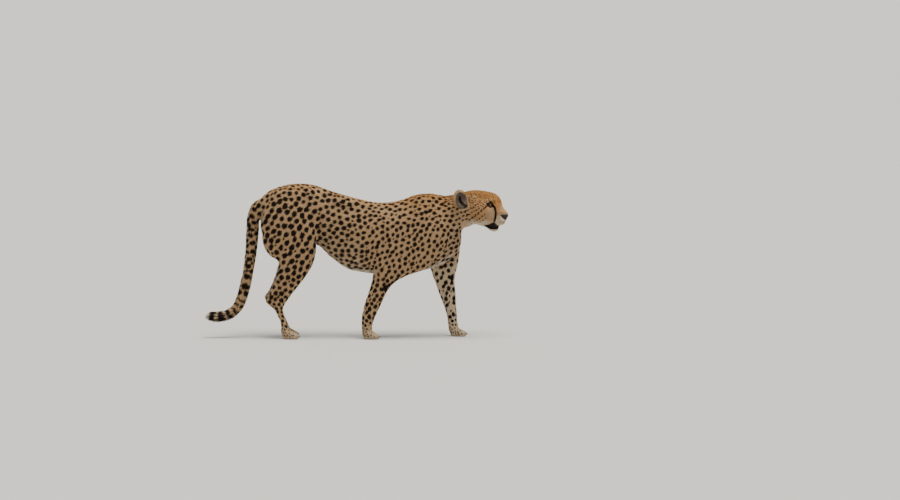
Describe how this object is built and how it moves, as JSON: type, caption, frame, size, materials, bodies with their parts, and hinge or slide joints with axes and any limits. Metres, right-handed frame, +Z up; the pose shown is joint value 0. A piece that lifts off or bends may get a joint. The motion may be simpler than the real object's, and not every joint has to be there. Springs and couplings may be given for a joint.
{
  "type": "cheetah",
  "caption": "Life-size still model of a cheetah walking with its head held low, short spotted coat, tail hanging and curled back at its end, standing on flat soles.",
  "frame": {"origin": "on the floor under the middle of the model's box", "axes": "+X from tail to nose, +Z up, the animal's left side towards +Y"},
  "size_m": [1.5012, 0.2342, 0.7743],
  "materials": {
    "coat": "short tawny fur with black-brown spots, paler on the belly, chin and inner legs",
    "nose": "black, finely pebbled and slightly moist",
    "lips": "black, soft and slightly moist",
    "eye": "amber iris with a round black pupil under a clear gloss",
    "claw": "dark blunt horn, paler at the tip",
    "whisker": "stiff white hair"
  },
  "bodies": {
    "root": {"head": "coat", "lower_jaw": "coat", "nose": "nose", "left_ear": "coat", "right_ear": "coat", "left_eye": "eye", "right_eye": "eye", "neck": "coat", "chest": "coat", "abdomen": "coat", "rump": "coat", "left_upper_foreleg": "coat", "right_upper_foreleg": "coat", "left_forearm": "coat", "right_forearm": "coat", "left_fore_paw": "coat", "right_fore_paw": "coat", "left_thigh": "coat", "right_thigh": "coat", "left_lower_hind_leg": "coat", "right_lower_hind_leg": "coat", "left_hind_foot": "coat", "right_hind_foot": "coat", "left_hind_paw": "coat", "right_hind_paw": "coat", "tail_root": "coat", "tail_middle": "coat", "tail_tip": "coat"}
  },
  "joints": []
}
